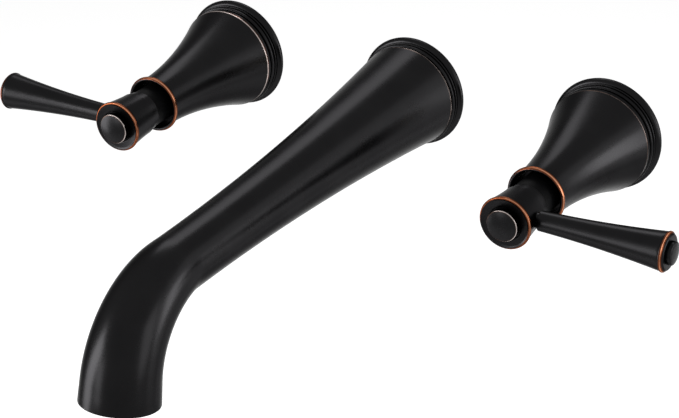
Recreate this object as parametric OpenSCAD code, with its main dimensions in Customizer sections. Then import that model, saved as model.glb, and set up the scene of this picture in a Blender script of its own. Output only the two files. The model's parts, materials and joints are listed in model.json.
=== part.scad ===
// Two-handle wall faucet: a long tube spout between two lever handles.
// The wall is the plane Y = 0 and everything stands out towards -Y, with +Z up.
// The origin is the middle of the spout's wall flange.
// Each group is drawn along its own axis, which is +Z until it is laid down by on_wall().

/* [Layout] */
// Distance from the spout's axis to each handle's axis
handle_offset = 101.6; // [90:0.1:120]
// Running gap between a turning piece and the piece that guides it
running_gap = 0.05; // [0.02:0.01:0.09]
// Gap between still pieces that slide together
seat_gap = 0.1; // [0.05:0.05:0.2]
// Gap between turning pieces and still pieces that must not touch
free_gap = 0.4; // [0.3:0.1:0.8]

/* [Wall flange] */
// Outer radius of the flange's bead
flange_r = 27.2; // [25:0.1:32]
// Distance that the flange stands off the wall
flange_h = 9; // [7.5:0.1:12]
// Height of the thick rounded bead at the wall
bead_h = 4.4; // [3.5:0.1:5]
// Radius of the thin middle ring
ring_r = 26.5; // [25.6:0.1:26.8]
// Radius of the front ring, where the escutcheon starts
front_ring_r = 26.1; // [25:0.1:26.4]
// Radius of the hole through the flange
flange_bore_r = 20.5; // [19:0.1:21]
// Thickness of the foam gasket
gasket_h = 1.2; // [0.8:0.1:2]
// Radial width of the foam gasket
gasket_w = 2.2; // [1.5:0.1:2.6]

/* [Bell escutcheon] */
// Radius of the bell where it meets the flange
bell_root_r = 25.9; // [24:0.1:26]
// Radius of the bell's narrow neck
bell_neck_r = 12.3; // [11.8:0.1:14]
// Distance from the wall to the bell's mouth
bell_front = 75.2; // [70:0.1:84]
// How sharply the bell flares towards the wall
bell_flare = 1.85; // [1.3:0.05:2.4]
// Wall thickness of the bell
bell_wall = 2; // [1.5:0.1:2.4]
// Outer radius of the rolled lip round the mouth
lip_r = 13.75; // [13.3:0.05:15]
// Width of the rolled lip
lip_w = 2.6; // [2:0.1:3.2]
// Inner radius of the mouth at its rim
mouth_r = 12.3; // [11.6:0.1:12.8]
// Depth of the mouth's tapered recess
mouth_depth = 7; // [5:0.5:9]

/* [Handle hub] */
// Radius of the hub at its front bead
hub_r = 12.2; // [11.5:0.1:13]
// Distance from the wall to the front of the hub
hub_front = 103.6; // [100:0.1:108]
// Length of the hub from its front to its rear collar
hub_len = 16.2; // [15.2:0.1:18]
// Radius of the hub's body where it narrows at the rear
hub_waist_r = 10.5; // [9.9:0.1:11]
// Radius of the hub's rear collar
collar_r = 9.7; // [9.2:0.1:10]
// Length of the hub's rear collar
collar_len = 4.4; // [3:0.1:5.5]
// Depth of the dished front face
dish_depth = 0.9; // [0.4:0.1:1.5]
// Radius of the glide bush inside the bell's mouth
glide_r = 9.3; // [8.8:0.1:9.6]
// Radius of the button in the hub's face
button_r = 7.2; // [6.5:0.1:8]
// Height of the button above the dished face
button_h = 4.6; // [3:0.1:5.5]
// Height of the button's domed crown
button_dome = 0.9; // [0.3:0.1:1.5]

/* [Lever] */
// Distance from the wall to the lever's axis
lever_z = 93.9; // [92:0.1:95]
// Distance from the hub's axis to the lever's tip bead
lever_len = 69.6; // [60:0.1:85]
// Radius of the lever at the handle's axis, before it flares
lever_root_r = 4.35; // [3.8:0.05:5]
// Radius of the lever at its tip
lever_tip_r = 8.8; // [7:0.1:10]
// How late along its length the lever flares
lever_flare = 1.95; // [1.2:0.05:2.6]
// Distance from the hub's axis to the seat of the lever's neck
neck_seat = 10.5; // [10:0.1:10.8]
// Length of the narrow neck
neck_len = 1.8; // [1:0.1:3]
// Radius of the neck at the hub
neck_r = 3.4; // [3:0.1:3.8]
// Radius of the stud that screws into the hub
stud_r = 2.9; // [2.5:0.1:3]
// Radius of the button on the lever's tip
tip_button_r = 4.9; // [4:0.1:5.6]
// Height of the button on the lever's tip
tip_button_h = 2; // [1:0.1:3]

/* [Valve] */
// Outer radius of the valve body
body_r = 13; // [12.6:0.1:13.3]
// Depth of the valve body behind the wall
body_back = 14; // [12:0.5:15]
// Distance from the wall to the valve body's mouth
body_front = 26; // [24:0.5:28]
// Radius of the cartridge's lower barrel
barrel_r = 8.5; // [8.3:0.1:8.8]
// Depth of the cartridge seat behind the wall
seat_z = 2; // [1:0.5:3]
// Radius of the cartridge's threaded shoulder
shoulder_r = 9.9; // [9.6:0.1:10.2]
// Width across the flats of the cartridge's hexagon
hex_flats = 22; // [20:0.5:22]
// Height of the cartridge's hexagon
hex_h = 6; // [5:0.5:7]
// Radius of the cartridge's neck
headwork_neck_r = 6.2; // [5.8:0.1:6.6]
// Distance from the wall to the end of the cartridge's neck
headwork_neck_end = 46; // [43:0.5:47]
// Radius of the spindle
spindle_r = 4; // [3.6:0.1:4.2]
// Length of the spindle's spline
spline_len = 12; // [10:0.5:14]
// Number of teeth on the spindle's spline
spline_teeth = 20; // [12:1:24]
// Depth of each spline tooth
tooth_depth = 0.5; // [0.3:0.05:0.6]
// Radius of the ceramic discs
disc_r = 7.2; // [6.9:0.1:7.4]
// Thickness of each ceramic disc
disc_h = 3; // [2.5:0.1:3.2]
// Thickness of the rubber seat seal
seal_h = 2.5; // [2:0.1:3]
// Thread core radius of each hose port behind the wall
port_r = 4.5; // [4:0.1:4.6]
// Distance from the valve's axis to each hose port
port_offset = 7.2; // [6.8:0.1:7.4]
// Depth of each hose port
port_depth = 9; // [8:0.5:9.5]

/* [Sleeve and stem] */
// Wall thickness of the mounting sleeve's skirt
skirt_wall = 1.9; // [1.5:0.1:2]
// Radius of the sleeve's threaded nose, which carries the bell
nose_r = 10.4; // [10.1:0.1:10.6]
// Radius of the stem extension
stem_r = 6; // [5.6:0.1:6.2]
// Radius of the stem extension's end inside the hub
stem_end_r = 4.9; // [4.5:0.1:5]
// Wall thickness of the nylon guide bush
guide_wall = 1.5; // [1.2:0.1:1.6]
// Length of the sleeve's threaded nose inside the bell
nose_len = 12; // [9:0.5:14]
// Length of the nylon guide bush
guide_len = 9; // [7:0.5:11]

/* [Spout] */
// Radius of the tube where it meets the flange
tube_root_r = 24.8; // [23:0.1:25.4]
// Radius of the tube where the bend starts
tube_r = 13.2; // [12.8:0.1:14]
// Length of the straight tapered tube
tube_len = 190.8; // [170:0.1:230]
// How sharply the tube flares towards the wall
tube_flare = 1.97; // [1.4:0.01:2.4]
// Radius of the bend's centre line
bend_r = 43; // [36:0.5:60]
// Angle of the bend
bend_angle = 77.5; // [60:0.5:90]
// Length of the straight tail after the bend
tail_len = 9.4; // [4:0.1:20]
// Outer radius of the outlet's rim
outlet_r = 17.2; // [16.2:0.1:18.5]
// Radius of the waterway round the bend
waterway_r = 9.5; // [8:0.1:9.8]

/* [Spout fixing] */
// Outer radius of the threaded nipple
nipple_r = 10.5; // [10.2:0.05:10.6]
// Bore radius of the nipple
nipple_bore_r = 7.5; // [6.5:0.1:8]
// Length of nipple behind the wall
nipple_back = 15; // [12:0.5:16]
// Length of the nipple's grip inside the adapter
nipple_grip = 18; // [15:0.5:20]
// Outer radius of the slip-fit adapter
adapter_r = 12.8; // [12.6:0.1:13.2]
// Length of the adapter
adapter_len = 34; // [32:0.5:40]
// Distance from the wall to the back of the adapter
adapter_start = 4; // [3:0.1:5]
// Width across the flats of the adapter's key socket
key_flats = 15.4; // [14:0.1:17]
// Distance from the adapter's front to its first O-ring
ring_inset = 5; // [4:0.1:5.5]
// Distance between the adapter's two O-rings
ring_pitch = 5; // [4:0.1:6]
// Distance from the wall to the set screw
screw_z = 20; // [17:0.5:22]
// Thread radius of the set screw
screw_r = 2.5; // [2:0.1:3]
// Thickness of an O-ring's section
ring_section = 1.8; // [1.6:0.1:2]

/* [Aerator] */
// Thread radius of the aerator
aerator_r = 12; // [11.5:0.1:12.4]
// Depth of the aerator's seat in the outlet
aerator_depth = 12; // [11:0.5:13]
// Wall thickness of the aerator's housing
aerator_wall = 1.6; // [1.2:0.1:2]
// Distance that the aerator sits inside the rim
aerator_inset = 0.8; // [0.4:0.1:1.5]
// Height of the flow straightener
straightener_h = 5; // [3.5:0.1:6]
// Radius of each hole in the flow straightener
straightener_hole_r = 0.9; // [0.6:0.05:1]
// Thickness of the rubber washer above the aerator
washer_h = 1.6; // [1.2:0.1:2]

/* [Hidden] */
$fn = 96;
bronze = [0.13, 0.12, 0.12];
brass = [0.78, 0.62, 0.32];
steel = [0.7, 0.7, 0.72];
rubber = [0.08, 0.08, 0.08];
nylon = [0.05, 0.05, 0.055];
ceramic = [0.92, 0.9, 0.86];
foam = [0.3, 0.3, 0.3];

curve_steps = 24;

// ---------- outlines ----------

// Radius of a trumpet at the fraction t of its length
function flare_r(r0, r1, k, t) = r1 + (r0 - r1) * pow(1 - t, k);

// Trumpet outline from (r0, z0) to (r1, z1), as [radius, height] points
function trumpet(r0, z0, r1, z1, k, grow = 0) =
    [for (i = [0 : curve_steps]) let (t = i / curve_steps)
        [flare_r(r0, r1, k, t) + grow, z0 + (z1 - z0) * t]];

// Arc of an outline, from angle a0 to angle a1
function arc(c, r, a0, a1, n = 12) =
    [for (i = [0 : n]) let (a = a0 + (a1 - a0) * i / n) [c[0] + r * cos(a), c[1] + r * sin(a)]];

// Lays a group down: its own +Z points out of the wall, its own +Y points up
module on_wall(x = 0) {
    translate([x, 0, 0]) rotate([90, 0, 0]) children();
}

// Turned solid of an outline
module turned(points) {
    rotate_extrude() polygon(points);
}

// Plain ring or tube between two heights
module tube(r_out, r_in, z0, z1) {
    turned([[r_in, z0], [r_out, z0], [r_out, z1], [r_in, z1]]);
}

// Round section ring
module o_ring(r_mid, section, z) {
    translate([0, 0, z]) rotate_extrude() translate([r_mid, 0]) circle(d = section, $fn = 24);
}

// ---------- wall flange and gasket, the same three times ----------

gasket_in_r = flange_bore_r + 1;
gasket_out_r = gasket_in_r + gasket_w;
spigot_depth = 2.8;
spigot_r = flange_bore_r + 1.9;

module wall_flange() {
    groove = 0.9;
    thin_ring_r = 0.55;
    front_round = 0.9;
    bead_c = bead_h / 2;
    color(bronze) turned(concat(
        [[flange_bore_r, gasket_h], [gasket_out_r + seat_gap, gasket_h],
         [gasket_out_r + seat_gap, 0]],
        arc([flange_r - bead_c, bead_c], bead_c, -90, 70),
        [[ring_r - groove, bead_h + 0.1]],
        arc([ring_r - thin_ring_r, bead_h + 0.85], thin_ring_r, -70, 70, 6),
        [[ring_r - groove, bead_h + 1.6]],
        arc([front_ring_r - front_round, bead_h + 1.8 + front_round], front_round, -70, 0, 4),
        arc([front_ring_r - front_round, flange_h - front_round], front_round, 0, 70, 4),
        [[bell_root_r - 0.6, flange_h], [spigot_r, flange_h], [spigot_r, flange_h - spigot_depth],
         [flange_bore_r, flange_h - spigot_depth]]
    ));
}

module wall_gasket() {
    color(foam) tube(gasket_out_r, gasket_in_r, 0, gasket_h);
}

// ---------- bell escutcheon ----------

lip_start = bell_front - lip_w;
mouth_floor = bell_front - mouth_depth;
nose_end = mouth_floor - 1;
nose_start = nose_end - nose_len;
bell_base = flange_h - spigot_depth + seat_gap;

module bell() {
    r_lip = lip_w / 2;
    inner = [for (p = trumpet(bell_root_r, flange_h, bell_neck_r, lip_start, bell_flare, -bell_wall))
        if (p[1] > flange_h + 3 && p[1] < nose_start - 2) p];
    color(bronze) turned(concat(
        [[spigot_r - 1.6, bell_base], [spigot_r - seat_gap, bell_base], [spigot_r - seat_gap, flange_h]],
        trumpet(bell_root_r, flange_h, bell_neck_r, lip_start, bell_flare),
        arc([lip_r - r_lip, bell_front - r_lip], r_lip, -60, 75),
        [[mouth_r, bell_front - 0.25], [nose_r + 0.5, mouth_floor],
         [nose_r + seat_gap, mouth_floor], [nose_r + seat_gap, nose_start]],
        [for (i = [len(inner) - 1 : -1 : 0]) inner[i]],
        [[spigot_r - 1.6, flange_h + 1]]
    ));
}

// ---------- mounting sleeve, guide bush and valve ----------

skirt_in_r = body_r + seat_gap;
skirt_out_r = skirt_in_r + skirt_wall;
hex_top = body_front + hex_h;
guide_out_r = stem_r + running_gap + guide_wall;

// Screwed on the valve body; its inner shoulder clamps the cartridge's hexagon
module mounting_sleeve() {
    shoulder_in_r = hex_flats / 2 - 1.5;
    color(brass) turned([
        [skirt_in_r, flange_h - 1], [skirt_out_r, flange_h - 1], [skirt_out_r, hex_top + 2],
        [nose_r, hex_top + 6], [nose_r, nose_end],
        [guide_out_r, nose_end], [guide_out_r, hex_top + 5], [shoulder_in_r, hex_top + 2],
        [shoulder_in_r, hex_top], [skirt_in_r, hex_top]
    ]);
}

module guide_bush() {
    color(nylon) tube(guide_out_r, stem_r + running_gap, nose_end - guide_len, nose_end);
}

barrel_end = 15;
window_z = 7.5;
window_h = 5.5;
gallery_r = 1.5;
gallery_offset = 10.4;
inlet_r = 2.4;
rim_chamfer = 1.6;

// The two rear ports take the supply hose (below) and the hose to the spout (above)
module valve_body() {
    drill_z = -body_back + port_depth;
    color(brass) difference() {
        turned([
            [0, -body_back], [body_r, -body_back], [body_r, body_front],
            [shoulder_r + seat_gap + rim_chamfer, body_front],
            [shoulder_r + seat_gap, body_front - rim_chamfer],
            [shoulder_r + seat_gap, barrel_end], [barrel_r + seat_gap, barrel_end],
            [barrel_r + seat_gap, window_z + window_h], [gallery_offset, window_z + window_h],
            [gallery_offset, window_z], [barrel_r + seat_gap, window_z],
            [barrel_r + seat_gap, -seat_z], [0, -seat_z]
        ]);
        for (s = [-1, 1])
            translate([0, s * port_offset, -body_back - 1]) cylinder(r = port_r, h = port_depth + 1);
        translate([0, -inlet_r - 0.5, drill_z]) cylinder(r = inlet_r, h = -drill_z);
        translate([0, gallery_offset, drill_z]) cylinder(r = gallery_r, h = window_z + 3 - drill_z);
    }
}

disc_z = seal_h - seat_z;
turning_z = disc_z + disc_h + running_gap;
disc_top = turning_z + disc_h;
tang_w = 3.6;
tang_len = 12;
tang_depth = 1.2;
cavity_r = disc_r + seat_gap;
bore_z = window_z + window_h + 1;
washer_face_h = 1.2;

module cartridge_body() {
    color(brass) difference() {
        union() {
            turned([
                [cavity_r, -seat_z], [barrel_r, -seat_z], [barrel_r, barrel_end],
                [shoulder_r, barrel_end], [shoulder_r, body_front],
                [body_r - 0.6, body_front], [body_r - 0.6, body_front + washer_face_h],
                [headwork_neck_r, body_front + washer_face_h],
                [headwork_neck_r, headwork_neck_end], [spindle_r + running_gap, headwork_neck_end],
                [spindle_r + running_gap, bore_z], [cavity_r, bore_z]
            ]);
            translate([0, 0, body_front]) difference() {
                cylinder(r = hex_flats / 2 / cos(30), h = hex_h, $fn = 6);
                translate([0, 0, -1]) cylinder(r = headwork_neck_r - 1, h = hex_h + 2);
            }
        }
        // water leaves through two side windows above the discs
        for (s = [0, 1]) rotate([0, 0, 180 * s])
            translate([-4, cavity_r - 2, window_z + 0.5]) cube([8, 4, window_h - 1]);
    }
}

// Fills the corner between the cartridge, its washer face and the body's chamfered rim
module body_o_ring() {
    r = (rim_chamfer + seat_gap) * (2 - sqrt(2)) / 2;
    color(rubber) o_ring(shoulder_r + r, 2 * r, body_front - r);
}

module seat_seal() {
    color(rubber) tube(disc_r - seat_gap, 5.2, -seat_z, disc_z);
}

// A ceramic disc with two opposite sector ports
module ceramic_disc(z, quarter) {
    translate([0, 0, z]) difference() {
        cylinder(r = disc_r, h = disc_h);
        for (s = [0, 1]) rotate([0, 0, quarter + 180 * s])
            rotate_extrude(angle = 70, start = 10)
                translate([2, -1]) square([disc_r - 3.8, disc_h + 2]);
    }
}

module fixed_disc() {
    color(ceramic) ceramic_disc(disc_z, 0);
}

// Bar that turns the upper disc, lying across it between its two ports
module tang(z, h, gap) {
    rotate([0, 0, 45]) translate([-tang_len / 2 - gap, -tang_w / 2 - gap, z])
        cube([tang_len + 2 * gap, tang_w + 2 * gap, h]);
}

// Shut at rest: its ports lie over the lands of the fixed disc
module turning_disc() {
    color(ceramic) difference() {
        ceramic_disc(turning_z, 90);
        tang(turning_z + disc_h - tang_depth, tang_depth + 1, 2 * seat_gap);
    }
}

spline_top = headwork_neck_end + spline_len;
spline_r = spindle_r - 0.2;

// Cross-section of a splined shaft: teeth all round, of radius r at their tips
module spline_section(r) {
    polygon([for (i = [0 : 2 * spline_teeth - 1]) let (a = 180 * i / spline_teeth,
        q = i % 2 == 0 ? r : r - tooth_depth) [q * cos(a), q * sin(a)]]);
}

ring_z = headwork_neck_end - 8;
spindle_collar_z = bore_z - free_gap - 1.2;

module spindle() {
    groove_r = spindle_r - ring_section + 0.02;
    color(steel) {
        turned([
            [0, disc_top], [spindle_r - 1, disc_top], [spindle_r - 1, spindle_collar_z],
            [spindle_r + 1.2, spindle_collar_z], [spindle_r + 1.2, bore_z - free_gap],
            [spindle_r, bore_z - free_gap], [spindle_r, ring_z - ring_section / 2],
            [groove_r, ring_z - ring_section / 2], [groove_r, ring_z + ring_section / 2],
            [spindle_r, ring_z + ring_section / 2], [spindle_r, headwork_neck_end],
            [0, headwork_neck_end]
        ]);
        tang(disc_top - tang_depth + seat_gap, tang_depth - seat_gap + 2.4, 0);
        translate([0, 0, headwork_neck_end])
            linear_extrude(spline_top - headwork_neck_end) spline_section(spline_r);
    }
}

module spindle_o_ring() {
    color(rubber) o_ring(spindle_r - ring_section / 2, ring_section - 0.04, ring_z);
}

// ---------- turning parts of the handle ----------

hub_rear = hub_front - hub_len;
collar_rear = hub_rear - collar_len;
stem_start = headwork_neck_end + free_gap;
stem_end = hub_front - 10;
glide_start = nose_end + free_gap;
stem_step = collar_rear + 1.5;
handle_screw_r = 1.7;
handle_screw_len = 7.5;

module stem_extension() {
    color(brass) difference() {
        union() {
            translate([0, 0, stem_start]) cylinder(r = stem_r, h = stem_step - stem_start);
            translate([0, 0, stem_step]) cylinder(r = stem_end_r, h = stem_end - stem_step);
        }
        translate([0, 0, stem_start - 1]) linear_extrude(spline_top - stem_start + 1)
            spline_section(spline_r + seat_gap);
        translate([0, 0, stem_end - handle_screw_len - 1])
            cylinder(r = handle_screw_r, h = handle_screw_len + 2);
    }
}

module glide_bush() {
    color(nylon) tube(glide_r, stem_r, glide_start, collar_rear);
}

button_seat = hub_front - dish_depth;
pocket_r = 5;
pocket_z = stem_end + 3.6;

module hub() {
    bead = 0.75;
    rim_drop = 0.35;
    step = 0.3;
    screw_hole_r = handle_screw_r + 0.3;
    color(bronze) difference() {
        turned(concat(
            [[stem_r, collar_rear], [collar_r - 0.5, collar_rear]],
            arc([collar_r - 0.5, collar_rear + 0.5], 0.5, -80, 0, 4),
            [[collar_r, hub_rear - step], [hub_waist_r - step, hub_rear]],
            [for (i = [0 : curve_steps]) let (t = i / curve_steps)
                [hub_waist_r + (hub_r - rim_drop - hub_waist_r) * pow(t, 1.4),
                 hub_rear + step + (hub_len - step - 2 * bead) * t]],
            arc([hub_r - bead, hub_front - bead], bead, -30, 100, 6),
            [[hub_r - 2 * bead, hub_front - rim_drop], [button_r + 0.1, button_seat],
             [pocket_r, button_seat], [pocket_r, pocket_z], [screw_hole_r, pocket_z],
             [screw_hole_r, stem_end], [stem_end_r, stem_end], [stem_end_r, stem_step],
             [stem_r, stem_step]]
        ));
        // flat seat and threaded hole for the lever
        lever_place() {
            translate([0, 0, neck_seat]) cylinder(r = neck_r + 0.3, h = 4);
            translate([0, 0, stem_end_r + 1]) cylinder(r = stud_r, h = 6);
        }
    }
}

module handle_screw() {
    head_h = 2.6;
    head_r = 3.6;
    color(steel) difference() {
        turned([[0, stem_end - handle_screw_len], [handle_screw_r, stem_end - handle_screw_len],
            [handle_screw_r, pocket_z], [head_r, pocket_z], [head_r, pocket_z + head_h - 0.4],
            [head_r - 0.4, pocket_z + head_h], [0, pocket_z + head_h]]);
        translate([0, 0, pocket_z + 0.8]) cylinder(r = 1.5, h = head_h, $fn = 6);
    }
}

module index_button() {
    plug_h = button_seat - pocket_z - 3;
    dome_r = (button_r * button_r + button_dome * button_dome) / (2 * button_dome);
    crown = button_seat + button_h;
    span = asin((button_r - 0.3) / dome_r);
    color(bronze) turned(concat(
        [[0, button_seat - plug_h], [pocket_r - 0.05, button_seat - plug_h],
         [pocket_r - 0.05, button_seat], [button_r - 0.1, button_seat]],
        [[button_r, button_seat + 0.3], [button_r, crown - button_dome - 0.2]],
        [for (i = [0 : 8]) let (a = span * (1 - i / 8))
            [dome_r * sin(a), crown - dome_r * (1 - cos(a))]]
    ));
}

// Puts a shape's own +Z along the lever's axis
module lever_place() {
    translate([0, 0, lever_z]) rotate([0, 90, 0]) children();
}

arm_start = neck_seat + neck_len;
tip_face = lever_len + 1.7;
plug_r = 2.6;
plug_len = 5;

module lever() {
    bead = 0.7;
    rise = lever_tip_r - lever_root_r;
    bead_proud = 0.1;
    shrink = 0.15;
    color(bronze) lever_place() turned(concat(
        [[0, stem_end_r + 1.4], [stud_r, stem_end_r + 1.4], [stud_r, neck_seat],
         [neck_r, neck_seat], [neck_r, arm_start - 0.6]],
        [for (i = [0 : curve_steps]) let (z = arm_start + (lever_len - bead - arm_start) * i / curve_steps)
            [lever_root_r + rise * pow(z / lever_len, lever_flare) - shrink * i / curve_steps, z]],
        arc([lever_tip_r + bead_proud - bead, lever_len], bead, -60, 60, 6),
        arc([lever_tip_r - 1.6, tip_face - 0.9], 0.9, 30, 90, 4),
        [[tip_button_r - 0.4, tip_face], [plug_r, tip_face], [plug_r, tip_face - plug_len - 1], [0, tip_face - plug_len - 1]]
    ));
}

module lever_button() {
    top = tip_face + tip_button_h;
    color(bronze) lever_place() turned([
        [0, tip_face - plug_len], [plug_r - 0.03, tip_face - plug_len], [plug_r - 0.03, tip_face],
        [tip_button_r - 0.1, tip_face], [tip_button_r, tip_face + 0.2],
        [tip_button_r, top - 0.5], [tip_button_r - 0.15, top - 0.2], [tip_button_r - 0.5, top],
        [0, top + 0.15]
    ]);
}

// ---------- spout ----------

bend_start = flange_h + tube_len;
socket_r = adapter_r + seat_gap;
adapter_end = adapter_start + adapter_len;
bend_length = bend_r * bend_angle * PI / 180;
skin_step = 0.04;
sides = 56;
bend_steps = 22;
tail_steps = 2;
tube_wall = tube_r - waterway_r;
socket_wall = 2.2;
// Small ledge left where the casting's straight and bent cores meet
core_step = 0.2;
tube_foot = flange_h - spigot_depth + seat_gap;

// How far the spout has grown at the fraction u of its way round the bend, starting gently
start_ease = 0.06;
growth_power = 0.75;
function growth(u) = pow((norm([u, start_ease]) - start_ease) / (norm([1, start_ease]) - start_ease),
    growth_power);

// Outer radius of the spout at a distance s past the start of the bend
function neck_radius(s) = tube_r - skin_step
    + (outlet_r - tube_r) * growth(max(s, 0) / (bend_length + tail_len));

// Ring of points round the spout at a distance s past the start of the bend
function spout_ring(s, r) = let (
        a = min(max(s, 0) / bend_length, 1) * bend_angle,
        past = s < 0 ? s : max(s - bend_length, 0),
        c = [0, -bend_r * (1 - cos(a)) - past * sin(a), bend_start + bend_r * sin(a) + past * cos(a)])
    [for (i = [0 : sides - 1]) let (q = 360 * i / sides)
        c + r * [cos(q), sin(q) * cos(a), sin(q) * sin(a)]];

// Stations along the bend and the tail; the first lies inside the straight tube
stations = concat([-1.5], [for (i = [0 : bend_steps]) bend_length * i / bend_steps],
    [for (i = [1 : tail_steps]) bend_length + (tail_len - 1.2) * i / tail_steps],
    [bend_length + tail_len - 0.5, bend_length + tail_len]);

function station_radius(s) = let (last = bend_length + tail_len)
    s < 0 ? tube_r - 0.5 : s >= last ? outlet_r - 0.9 : s > last - 1 ? outlet_r - 0.25 : neck_radius(s);

module bend_skin() {
    n = len(stations);
    points = [for (s = stations) each spout_ring(s, station_radius(s))];
    walls = [for (k = [0 : n - 2], i = [0 : sides - 1]) let (j = (i + 1) % sides)
        each [[k * sides + i, (k + 1) * sides + i, (k + 1) * sides + j],
              [k * sides + i, (k + 1) * sides + j, k * sides + j]]];
    caps = [[for (i = [0 : sides - 1]) i], [for (i = [sides - 1 : -1 : 0]) (n - 1) * sides + i]];
    polyhedron(points, concat(walls, caps));
}

// Puts a shape's own +Z out of the spout's mouth, with Z = 0 in the plane of its rim
module at_outlet() {
    past = tail_len;
    translate([0, -bend_r * (1 - cos(bend_angle)) - past * sin(bend_angle),
               bend_start + bend_r * sin(bend_angle) + past * cos(bend_angle)])
        rotate([bend_angle, 0, 0]) children();
}

// Radius of the straight tube at the height z
function tube_at(z) = flare_r(tube_root_r, tube_r, tube_flare, (z - flange_h) / tube_len);

// Cast tube: an even wall from the end of the adapter's socket onward, and a socket in its root
module spout_tube() {
    socket_end = adapter_end + 0.5;
    pocket_in = socket_r + socket_wall;
    pocket_out = spigot_r - 2;
    pocket_end = adapter_end - 6;
    core_r = waterway_r + core_step;
    color(bronze) difference() {
        union() {
            turned(concat(
                [[0, tube_foot], [spigot_r - seat_gap, tube_foot], [spigot_r - seat_gap, flange_h]],
                trumpet(tube_root_r, flange_h, tube_r, bend_start, tube_flare),
                [[0, bend_start]]));
            bend_skin();
        }
        // open pocket between the outer wall and the adapter's socket
        difference() {
            turned(concat([[pocket_in, 0], [pocket_out, 0], [pocket_out, flange_h]],
                [for (i = [1 : 6]) let (z = flange_h + (pocket_end - flange_h) * i / 6)
                    [min(tube_at(z) - tube_wall, pocket_out), z]],
                [[pocket_in, pocket_end]]));
            // boss for the set screw
            translate([0, 0, screw_z]) rotate([90, 0, 0]) cylinder(r = screw_r + 2, h = tube_root_r);
        }
        // socket and waterway of the straight tube
        turned(concat([[0, 0], [socket_r, 0], [socket_r, socket_end]],
            [for (i = [0 : curve_steps]) let (z = socket_end + (bend_start - socket_end) * i / curve_steps)
                [tube_at(z) - tube_wall + core_step, z]],
            [[core_r, bend_start + core_step], [0, bend_start + core_step]]));
        translate([0, -bend_r, bend_start]) rotate([90, 0, 90])
            rotate_extrude(angle = bend_angle) translate([bend_r, 0]) circle(r = waterway_r);
        at_outlet() {
            translate([0, 0, -tail_len - core_step]) cylinder(r = core_r, h = tail_len + 1);
            translate([0, 0, -aerator_depth]) cylinder(r = aerator_r + seat_gap, h = aerator_depth + 1);
        }
        translate([0, 0, screw_z]) rotate([90, 0, 0]) translate([0, 0, adapter_r - 1])
            cylinder(r = screw_r, h = tube_root_r);
    }
}

nipple_end = adapter_start + nipple_grip;

// Threaded at both ends, with a plain waist where it comes out of the wall
module spout_nipple() {
    waist_r = nipple_r - 0.4;
    color(brass) turned([[nipple_bore_r, -nipple_back], [nipple_r, -nipple_back], [nipple_r, 0],
        [waist_r, 0], [waist_r, adapter_start], [nipple_r, adapter_start],
        [nipple_r, nipple_end], [nipple_bore_r, nipple_end]]);
}

groove_z = [adapter_end - ring_inset, adapter_end - ring_inset - ring_pitch];

module spout_adapter() {
    depth = ring_section - 0.15;
    color(brass) difference() {
        turned([[nipple_r, adapter_start], [adapter_r, adapter_start], [adapter_r, adapter_end],
            [nipple_bore_r, adapter_end], [nipple_bore_r, nipple_end], [nipple_r, nipple_end]]);
        for (z = groove_z)
            tube(adapter_r + 1, adapter_r - depth, z - ring_section / 2, z + ring_section / 2);
        // six-sided socket for the key that screws it on
        translate([0, 0, nipple_end + 3])
            cylinder(r = key_flats / 2 / cos(30), h = adapter_len, $fn = 6);
    }
}

module spout_adapter_o_rings() {
    depth = ring_section - 0.15;
    color(rubber) for (z = groove_z)
        o_ring(adapter_r - depth + ring_section / 2 - 0.05, ring_section - 0.1, z);
}

module spout_set_screw() {
    length = 7;
    color(steel) translate([0, 0, screw_z]) rotate([90, 0, 0]) difference() {
        translate([0, 0, adapter_r]) cylinder(r = screw_r, h = length);
        translate([0, 0, adapter_r + length - 3]) cylinder(r = 1.45, h = 4, $fn = 6);
    }
}

// ---------- aerator, drawn along the outlet's axis ----------

housing_r = aerator_r;
housing_in_r = aerator_r - aerator_wall;
housing_top = -aerator_depth + washer_h;
ledge_h = 1.2;
straightener_z = -aerator_inset - ledge_h - straightener_h;

module aerator_housing() {
    color(bronze) at_outlet() turned([
        [housing_in_r, housing_top], [housing_r, housing_top], [housing_r, -aerator_inset - 0.4],
        [housing_r - 0.4, -aerator_inset], [housing_in_r - 0.6, -aerator_inset],
        [housing_in_r - 0.9, -aerator_inset - 0.4], [housing_in_r - 0.9, -aerator_inset - ledge_h],
        [housing_in_r, -aerator_inset - ledge_h]
    ]);
}

module aerator_straightener() {
    pitch = 2.6 * straightener_hole_r;
    rings = floor((housing_in_r - straightener_hole_r - 0.8) / pitch);
    color(nylon) at_outlet() translate([0, 0, straightener_z]) difference() {
        cylinder(r = housing_in_r - 0.02, h = straightener_h);
        for (k = [1 : rings], i = [0 : 6 * k - 1]) rotate([0, 0, 60 * i / k])
            translate([k * pitch, 0, -1]) cylinder(r = straightener_hole_r, h = straightener_h + 2, $fn = 16);
        translate([0, 0, -1]) cylinder(r = straightener_hole_r, h = straightener_h + 2, $fn = 16);
    }
}

module aerator_screen() {
    h = 0.5;
    color(steel) at_outlet() translate([0, 0, straightener_z - h]) cylinder(r = housing_in_r - 0.05, h = h);
}

module aerator_washer() {
    color(rubber) at_outlet() tube(aerator_r - 0.05, waterway_r, -aerator_depth, housing_top);
}

// ---------- nodes ----------

// Hot is on the left, and its lever points left; cold is its mirror image
module hot_side() { on_wall(-handle_offset) mirror([1, 0, 0]) children(); }
module cold_side() { on_wall(handle_offset) children(); }

on_wall() spout_tube();
on_wall() wall_flange();  // spout_flange
on_wall() wall_gasket();  // spout_gasket
on_wall() spout_nipple();
on_wall() spout_adapter();
on_wall() spout_adapter_o_rings();
on_wall() spout_set_screw();
on_wall() aerator_housing();
on_wall() aerator_straightener();
on_wall() aerator_screen();
on_wall() aerator_washer();

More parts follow.
